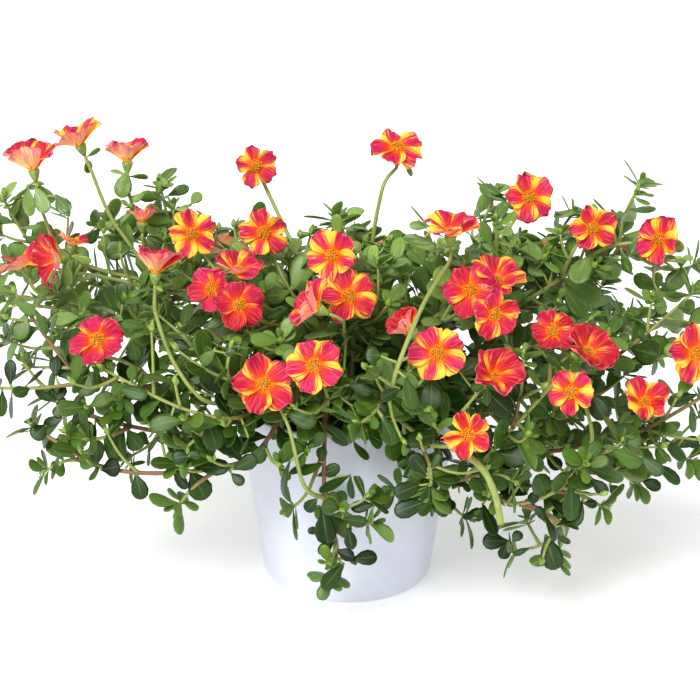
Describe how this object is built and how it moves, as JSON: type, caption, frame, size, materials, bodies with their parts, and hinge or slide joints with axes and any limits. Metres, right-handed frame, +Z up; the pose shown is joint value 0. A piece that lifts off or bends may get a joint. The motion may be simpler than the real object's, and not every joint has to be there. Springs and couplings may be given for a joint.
{
  "type": "potted plant",
  "caption": "Bushy portulaca in a plain round pot: arching and trailing leafy stems with flat spoon-shaped leaves and striped open blooms at their tips.",
  "frame": {"origin": "centre of the pot's underside, on the surface the pot stands on", "axes": "+Z up along the pot's axis, -Y towards the front, +X to the right seen from the front"},
  "size_m": [0.4304, 0.3177, 0.2608],
  "materials": {
    "pot": "satin white plastic",
    "soil": "loose dark potting soil",
    "petals": "soft satin petals, magenta to red with yellow stripes",
    "foliage": "fleshy green leaves with a satin skin"
  },
  "bodies": {
    "root": {"pot": "pot", "soil": "soil", "bloom_01": "petals", "bloom_02": "petals", "bloom_03": "petals", "bloom_04": "petals", "bloom_05": "petals", "bloom_06": "petals", "bloom_07": "petals", "bloom_08": "petals", "bloom_09": "petals", "bloom_10": "petals", "bloom_11": "petals", "bloom_16": "petals", "bloom_19": "petals", "bloom_20": "petals", "bloom_21": "petals", "bloom_22": "petals", "bloom_25": "petals", "bloom_26": "petals", "bloom_27": "petals", "bloom_28": "petals", "bloom_29": "petals", "bloom_30": "petals", "bloom_33": "petals", "bloom_34": "petals", "bloom_35": "petals", "bloom_36": "petals", "bloom_37": "petals", "bloom_38": "petals", "bloom_39": "petals", "bloom_40": "petals", "bloom_12_13": "petals", "bloom_14_15": "petals", "bloom_17_18": "petals", "bloom_23_24": "petals", "bloom_31_32": "petals", "leafy_stem_01": "foliage", "leafy_stem_02": "foliage", "leafy_stem_03": "foliage", "leafy_stem_04": "foliage", "leafy_stem_05": "foliage", "leafy_stem_06": "foliage", "leafy_stem_07": "foliage", "leafy_stem_08": "foliage", "leafy_stem_09": "foliage", "leafy_stem_10": "foliage", "leafy_stem_11": "foliage", "leafy_stem_12": "foliage", "leafy_stem_13": "foliage", "leafy_stem_14": "foliage", "leafy_stem_15": "foliage", "leafy_stem_16": "foliage", "leafy_stem_17": "foliage", "leafy_stem_18": "foliage", "leafy_stem_19": "foliage", "leafy_stem_20": "foliage", "leafy_stem_21": "foliage", "leafy_stem_22": "foliage", "leafy_stem_23": "foliage"}
  },
  "joints": []
}
